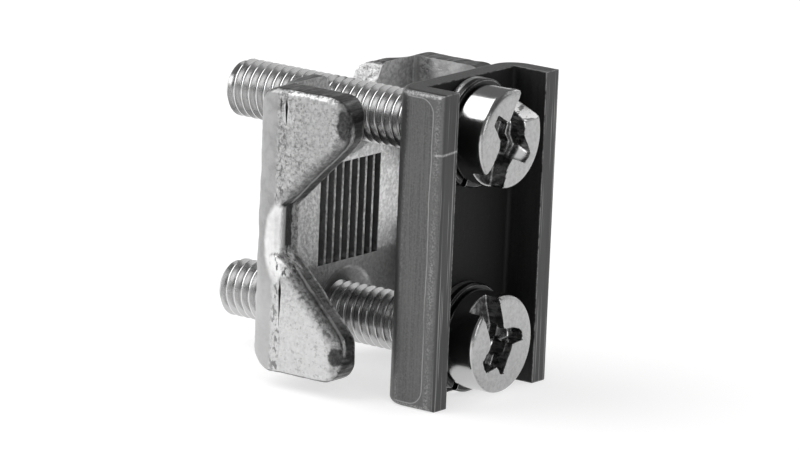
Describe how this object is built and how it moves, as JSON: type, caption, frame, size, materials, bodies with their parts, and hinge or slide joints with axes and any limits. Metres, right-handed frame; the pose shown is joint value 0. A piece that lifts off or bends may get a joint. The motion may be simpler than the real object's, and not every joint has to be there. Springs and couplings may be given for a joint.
{
  "type": "prism clamp",
  "caption": "Conductor clamp: a folded jaw with V-notched flanks is drawn by threaded screws towards the web of a steel channel.",
  "frame": {"origin": "under the middle of the screws' length, at the foot of the channel", "axes": "+X along the screws towards their heads, +Y along the conductor, +Z along the channel"},
  "size_m": [0.045, 0.0346, 0.0422],
  "materials": {
    "dark_steel": "dark rolled steel with light worn edges and fine scratches along its height",
    "zinc_plate": "pale zinc plate, finely mottled, with dark sheared edges",
    "screw_steel": "bright zinc-plated steel, satin head faces with torn recesses",
    "spring_steel": "bright plated spring steel"
  },
  "bodies": {
    "bracket": {"channel_bracket": "dark_steel", "upper_spring_washer": "spring_steel", "lower_spring_washer": "spring_steel"},
    "jaw": {"prism_jaw": "zinc_plate"},
    "upper_screw": {"upper_screw": "screw_steel"},
    "lower_screw": {"lower_screw": "screw_steel"}
  },
  "joints": [
    {"name": "upper_screw_turn", "type": "hinge", "parent": "bracket", "child": "upper_screw", "pos_m": [0.0175, 0, 0.03485], "axis": [1, 0, 0], "range_deg": [-4321, 3457]},
    {"name": "lower_screw_turn", "type": "hinge", "parent": "bracket", "child": "lower_screw", "pos_m": [0.0175, 0, 0.00735], "axis": [1, 0, 0], "range_deg": [-4321, 3457]},
    {"name": "jaw_slide", "type": "slide", "parent": "bracket", "child": "jaw", "axis": [1, 0, 0], "range_m": [-0.012, 0.015]}
  ],
  "couplings": [
    {"joint": "upper_screw_turn", "follows": "jaw_slide", "rad_per_m": -5026.5},
    {"joint": "lower_screw_turn", "follows": "jaw_slide", "rad_per_m": -5026.5}
  ]
}
